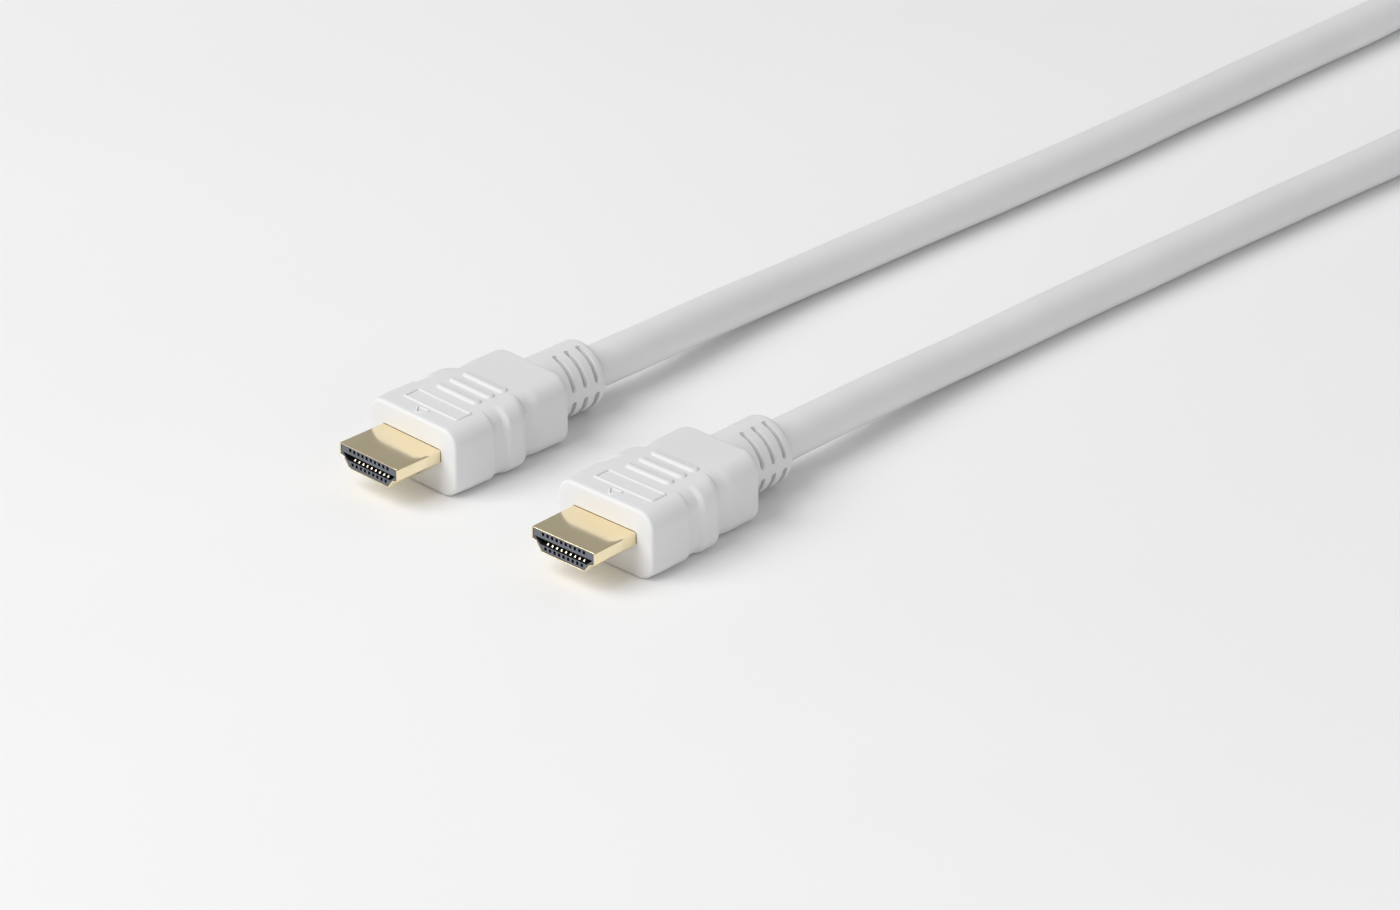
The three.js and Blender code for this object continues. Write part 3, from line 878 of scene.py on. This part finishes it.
def contact_surface(side):
    """One formed spring contact at the origin, on the slot's floor (side 1) or ceiling (side -1)."""
    profile = [(0.42, 0.03), (0.5, 0.14), (0.62, 0.3), (0.78, 0.42), (0.98, 0.47), (1.2, 0.46)]
    profile += [(1.6, 0.4), (2.5, 0.32), (3.4, 0.24), (5.0, 0.2), (PIN_END_Y, 0.2)]
    back = 0.0 if side > 0 else UPPER_PINS_BACK
    w, t = PIN_HALF_W, PIN_TOP_HALF_W
    surface = Surface()
    rings = []
    for y, up in profile:
        low, edge = max(up - 0.2, 0.0), up * 0.82
        corners = [(-w, low), (-t, low), (t, low), (w, low), (w, edge), (t, up), (-t, up), (-w, edge)]
        rings.append([(x, y + back * (1.0 - y / PIN_END_Y), side * z) for x, z in corners])
    surface.loft(rings)
    return surface


# Cord

RUN_A = [
    (0.0, 0.0, 1.0),
    (0.0, 12.0, 0.96),
    (-1.3, 28.0, 0.6),
    (-2.6, 50.0, 0.12),
    (-2.6, 78.0, 0.0),
    (-2.3, 103.0, 0.0),
    (-2.1, 129.0, 0.0),
    (-2.7, 157.0, 0.0),
    (-3.4, 190.0, 0.0),
]
RUN_B = [
    (0.0, 0.0, 1.0),
    (-0.5, 12.0, 0.96),
    (-1.9, 28.0, 0.6),
    (-3.4, 50.0, 0.12),
    (-4.1, 76.0, 0.0),
    (-4.2, 104.0, 0.0),
    (-4.1, 134.0, 0.0),
    (-3.8, 160.0, 0.0),
]


def run_points(start, run):
    out = []
    for across, along, height in run:
        out.append(Vector((start.x + across, start.y + along, LIE_Z + (AXIS_Z - LIE_Z) * height)))
    return out


def sideways(start, stop, steps, hold=0.0):
    """Points of an even sideways swing between two places that both face along Y."""
    out = []
    for k in range(1, steps):
        u = k / steps
        x = start.x + (stop.x - start.x) * (1.0 - math.cos(math.pi * u)) / 2
        fall = ease((u - hold) / (1.0 - hold))
        out.append(Vector((x, start.y + (stop.y - start.y) * u, start.z + (stop.z - start.z) * fall)))
    return out


def swing(turns, start):
    """From 0 to 1 over a little less than half a turn of the coil."""
    u = max(0.0, min(1.0, (turns - start) / STEP_TURNS))
    return (1.0 - math.cos(math.pi * u)) / 2


def coil_points():
    """Turns three abreast and two high: inwards on the floor, up, and outwards on top."""
    out = []
    for k in range(round(COIL_TURNS * COIL_TURN_STEPS) + 1):
        turns = k / COIL_TURN_STEPS
        steps_in = swing(turns, STEPS_IN[0]) + swing(turns, STEPS_IN[1])
        for at in STEPS_OUT:
            steps_in -= swing(turns, at)
        rise = swing(turns, RISE_AT)
        radius = COIL_OUT_R - CORD_D * steps_in - RISE_ROOM * math.sin(math.pi * rise)
        angle = math.pi - 2.0 * math.pi * turns
        from_tie = abs(math.remainder(angle - math.radians(TIE_TURN), 2.0 * math.pi))
        lift = COIL_LIFT * ease(1.0 - (from_tie - 0.16) / 0.35)
        z = LIE_Z + CORD_D * rise + lift
        out.append(Vector((COIL_X + radius * math.cos(angle), COIL_Y + radius * math.sin(angle), z)))
    return out


def cord_route():
    start_a = Vector((0.0, START_Y - 1.2, 0.0))
    turned = Matrix.Rotation(PLUG_B_TURN, 4, "Z") @ Vector((0.0, START_Y, 0.0))
    start_b = turned + PLUG_B_AT
    run_a = run_points(Vector((0.0, START_Y, 0.0)), RUN_A)
    run_a[0].y = start_a.y
    run_b = run_points(start_b, RUN_B)
    run_b[0].y -= 1.2
    leave_a = Vector((run_a[-1].x - 0.5, run_a[-1].y + 22.0, LIE_Z))
    leave_b = Vector((run_b[-1].x, run_b[-1].y + 9.9, LIE_Z))
    coil = coil_points()
    points = run_a + [leave_a] + sideways(leave_a, coil[0], 5) + coil
    points += sideways(coil[-1], leave_b, 9, 0.36) + [leave_b] + run_b[::-1]
    return [p - ORIGIN for p in points]


def smooth_route(points, step):
    """Evenly spaced points of the centripetal spline through the route."""
    ends = [points[0] * 2 - points[1], *points, points[-1] * 2 - points[-2]]
    fine = []
    for i in range(1, len(ends) - 2):
        p0, p1, p2, p3 = ends[i - 1 : i + 3]
        t1 = math.sqrt((p1 - p0).length)
        t2 = t1 + math.sqrt((p2 - p1).length)
        t3 = t2 + math.sqrt((p3 - p2).length)
        for k in range(SPLINE_STEPS):
            t = t1 + (t2 - t1) * k / SPLINE_STEPS
            a1 = p0 * ((t1 - t) / t1) + p1 * (t / t1)
            a2 = p1 * ((t2 - t) / (t2 - t1)) + p2 * ((t - t1) / (t2 - t1))
            a3 = p2 * ((t3 - t) / (t3 - t2)) + p3 * ((t - t2) / (t3 - t2))
            b1 = a1 * ((t2 - t) / t2) + a2 * (t / t2)
            b2 = a2 * ((t3 - t) / (t3 - t1)) + a3 * ((t - t1) / (t3 - t1))
            fine.append(b1 * ((t2 - t) / (t2 - t1)) + b2 * ((t - t1) / (t2 - t1)))
    fine.append(points[-1])
    lengths = [0.0]
    for a, b in zip(fine, fine[1:]):
        lengths.append(lengths[-1] + (b - a).length)
    count = max(2, round(lengths[-1] / step))
    out = []
    j = 0
    for k in range(count + 1):
        want = lengths[-1] * k / count
        while j < len(lengths) - 2 and lengths[j + 1] < want:
            j += 1
        part = (want - lengths[j]) / max(lengths[j + 1] - lengths[j], 1e-9)
        out.append(fine[j].lerp(fine[j + 1], part))
    for p in out:
        p.z = max(p.z, LIE_Z)
    return out


def cord_piece(material):
    """The whole cord along its route, and the points that it follows, in metres."""
    path = smooth_route(cord_route(), CORD_STEP)
    rings = []
    up = Vector((0.0, 0.0, 1.0))
    for i, p in enumerate(path):
        ahead = path[min(i + 1, len(path) - 1)] - path[max(i - 1, 0)]
        ahead.normalize()
        side = ahead.cross(up).normalized()
        over = side.cross(ahead)
        s = CORD_STEP * i
        thick = 1.0 + 0.009 * math.sin(s / 13.0) + 0.007 * math.sin(s / 5.3 + 1.0)
        ring = []
        for k in range(CORD_SIDES):
            t = 2.0 * math.pi * k / CORD_SIDES
            ring.append(tuple(p + (side * math.cos(t) + over * math.sin(t)) * (thick * CORD_D / 2)))
        rings.append(ring)
    surface = Surface()
    surface.loft(rings)
    piece = surface.piece("white_cord", Matrix.Identity(4), material)
    return piece, [tuple(p * MM) for p in path]


def tie_piece(material):
    """A woven strap round the coil, its end lapped over itself."""
    middle = Vector((COIL_X, COIL_Y, 0.0)) - ORIGIN
    inner_r, outer_r = COIL_OUT_R - 2.0 * CORD_D - LIE_Z, COIL_OUT_R + LIE_Z
    turn = math.radians(TIE_TURN)
    half_w = (outer_r - inner_r) / 2 + 0.3
    mean = (outer_r + inner_r) / 2
    corners = [(half_w, TIE_LOW), (half_w, TIE_HIGH), (-half_w, TIE_HIGH), (-half_w, TIE_LOW)]
    outline = split_long_sides(rounded_outline(corners, [TIE_CORNER_R] * 4, 8), 2.0)
    surface = Surface()
    rings = []
    w, t = TIE_HALF_W, TIE_THICK
    section = [(0.0, 0.2 - w), (0.0, w - 0.2), (-0.25, w), (0.25 - t, w)]
    section += [(-t, w - 0.2), (-t, 0.2 - w), (0.25 - t, -w), (-0.25, -w)]
    for inset, y in section:
        rings.append([(x, y, max(z, 0.02)) for x, z in inset_outline(outline, inset)])
    surface.loft(rings, wrap=True)
    w = LAP_HALF_W
    lap_tops = [(-half_w + 4.2, 0.0), (-half_w + 4.6, 0.5), (half_w - 5.0, 0.5), (half_w - 4.6, 0.0)]
    lap = []
    for x, lift in lap_tops:
        top = LAP_HIGH + lift
        lap.append([(x, -w, LAP_LOW), (x, w, LAP_LOW), (x, w, top), (x, -w, top)])
    surface.loft(lap)
    turned = Matrix.Translation(middle) @ Matrix.Rotation(turn, 4, "Z")
    place = turned @ Matrix.Translation(Vector((mean, 0, 0)))
    return surface.piece("coil_strap", place, material)


# Light and floor


def area_light(name, place, target, size, power):
    data = bpy.data.lights.new(name, "AREA")
    data.shape = "RECTANGLE"
    data.size, data.size_y = size
    data.energy = power
    light = link(bpy.data.objects.new(name, data))
    light.location = place
    light.rotation_euler = (Vector(target) - Vector(place)).to_track_quat("-Z", "Y").to_euler()
    return light


def light_scene():
    world = bpy.data.worlds.new("studio surround")
    bpy.context.scene.world = world
    world.use_nodes = True
    background = world.node_tree.nodes["Background"]
    background.inputs["Color"].default_value = (0.385, 0.385, 0.387, 1.0)
    background.inputs["Strength"].default_value = 1.0
    area_light("key soft box", (-0.45, -1.12, 1.27), (0.0, 0.05, 0.0), (1.4, 1.4), 25.6)
    area_light("right fill", (1.5, -0.15, 0.75), (0.0, 0.05, 0.0), (1.2, 0.9), 2.6)
    bpy.context.scene.view_settings.view_transform = "Standard"


def lay_floor():
    mesh = bpy.data.meshes.new("paper_floor")
    size = 6.0
    corners = [(-size, -size, 0), (size, -size, 0), (size, size, 0), (-size, size, 0)]
    mesh.from_pydata(corners, [], [(0, 1, 2, 3)])
    mesh.materials.append(floor_material())
    floor = link(bpy.data.objects.new("paper_floor", mesh))


# The object


def build():
    aim_camera()
    grain = moulded_grain_group()
    metal = drawn_metal_group()
    pale, paler = (0.77, 0.77, 0.777), (0.80, 0.80, 0.807)
    white = moulded_plastic("white moulded plastic", grain, pale, paler, 0.54, 9000.0, 0.3, 0.012)
    pale, paler = (0.78, 0.78, 0.787), (0.815, 0.815, 0.822)
    sheath = moulded_plastic("white cord sheath", grain, pale, paler, 0.46, 5000.0, 0.5, 0.01)
    grey, greyer = (0.116, 0.127, 0.15), (0.142, 0.153, 0.178)
    # Near-black painted shade for the faces inside the insulator's slot and windows.
    recess_shade_black = (0.008, 0.008, 0.01)
    dark = moulded_plastic("dark insulator", grain, grey, greyer, 0.5, 12000.0, 0.1, 0.006, recess_shade_black)
    pale, paler = (0.92, 0.795, 0.53), (0.965, 0.84, 0.58)
    gold = plated_metal("pale gold plating", metal, pale, paler, 0.13, (1.0, 0.04, 1.0), 2600.0)
    pale, paler = (0.97, 0.87, 0.66), (0.99, 0.92, 0.76)
    bright = plated_metal("bright contact plating", metal, pale, paler, 0.3, (1.0, 0.1, 1.0), 5000.0)
    strap = strap_material("woven strap", grain)

    cord, path = cord_piece(sheath)
    tie = tie_piece(strap)
    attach(cord, "root")
    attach(tie, "root")
    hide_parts("cord_a", "cord_b", "cord_coil")
    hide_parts("cord_tie")

    rows = copies_tree()
    pierced = pierced_tree()
    for key, place in PLACE.items():
        turn = PLUG_B_TURN if key == "b" else 0.0
        across = (place.to_3x3() @ Vector((1.0, 0.0, 0.0))) * MM
        back = (place.to_3x3() @ Vector((0.0, 1.0, 0.0))) * MM

        def spot(x, y, z):
            return (place @ Vector((x, y, z))) * MM

        moulding = Surface()
        add_body(moulding)
        add_sleeve(moulding)
        add_panel_rim(moulding)
        add_arrow(moulding)
        body = moulding.piece(f"plug_moulding_{key}", place, white)
        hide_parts(f"overmould_{key}")

        ribs = rib_surface().piece(f"grip_ribs_{key}", Matrix.Identity(4), white)
        apply_tree(
            ribs,
            rows,
            {
                "Count": RIB_COUNT,
                "Start": spot(RIB_X, FRONT_Y + RIB_FIRST, BODY_H),
                "Step": back * RIB_PITCH,
                "Turn": turn,
                "Material": white,
            },
        )

        sleeve = Surface()
        add_shell(sleeve)
        shell = sleeve.piece(f"plug_shell_{key}", place, gold, 50.0)
        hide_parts(f"shell_{key}")

        block = Surface()
        add_insulator(block)
        insulator = block.piece(f"plug_insulator_{key}", place, dark)
        low, high = SLOT_FLOOR_HALF, SLOT_TOP_HALF
        corners = [(-low, SLOT_FLOOR), (low, SLOT_FLOOR), (high, SLOT_TOP), (-high, SLOT_TOP)]
        slot = prism(corners, FACE_Y - 1.0, FACE_Y + SLOT_DEEP)
        cut_away(insulator, slot.piece("slot_cutter", place, dark))
        w, h = WINDOW_HALF_W, WINDOW_HALF_H
        hole = prism([(-w, -h), (w, -h), (w, h), (-w, h)], -1.0, WINDOW_DEEP)
        window = hole.piece("window_cutter", Matrix.Identity(4), dark)
        apply_tree(
            insulator,
            pierced,
            {
                "Cutter": window,
                "Upper Count": UPPER_PINS,
                "Upper Start": spot(-(UPPER_PINS - 1) * PIN_PITCH / 2, FACE_Y, UPPER_WINDOWS_Z),
                "Lower Count": LOWER_PINS,
                "Lower Start": spot(-(LOWER_PINS - 1) * PIN_PITCH / 2, FACE_Y, LOWER_WINDOWS_Z),
                "Step": across * PIN_PITCH,
                "Turn": turn,
                "Material": dark,
            },
        )
        finish_mesh(insulator.data, dark, 30.0)
        # The faces inside the slot and windows get painted shade.
        mark_painted_recess_shade(insulator, place)
        bpy.data.objects.remove(window)
        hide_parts(f"insulator_{key}")

        levels = [("upper", -1, UPPER_PINS, 1, SLOT_TOP)]
        levels += [("lower", 1, LOWER_PINS, UPPER_PINS + 1, SLOT_FLOOR)]
        for level, side, count, first, z in levels:
            row = contact_surface(side).piece(f"{level}_contacts_{key}", Matrix.Identity(4), bright)
            apply_tree(
                row,
                rows,
                {
                    "Count": count,
                    "Start": spot(-(count - 1) * PIN_PITCH / 2, FACE_Y, z),
                    "Step": across * PIN_PITCH,
                    "Turn": turn,
                    "Material": bright,
                },
            )
            finish_mesh(row.data, bright)
            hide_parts(*[f"contact_{key}_{i:02d}" for i in range(first, first + count)])
            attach(row, "root")
        finish_mesh(ribs.data, white)
        finishes = [(body, "white_moulding"), (ribs, "white_moulding")]
        finishes += [(shell, "gold_plate"), (insulator, "dark_insulator")]
        for piece, finish in finishes:
            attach(piece, "root")


build()
lay_floor()
light_scene()
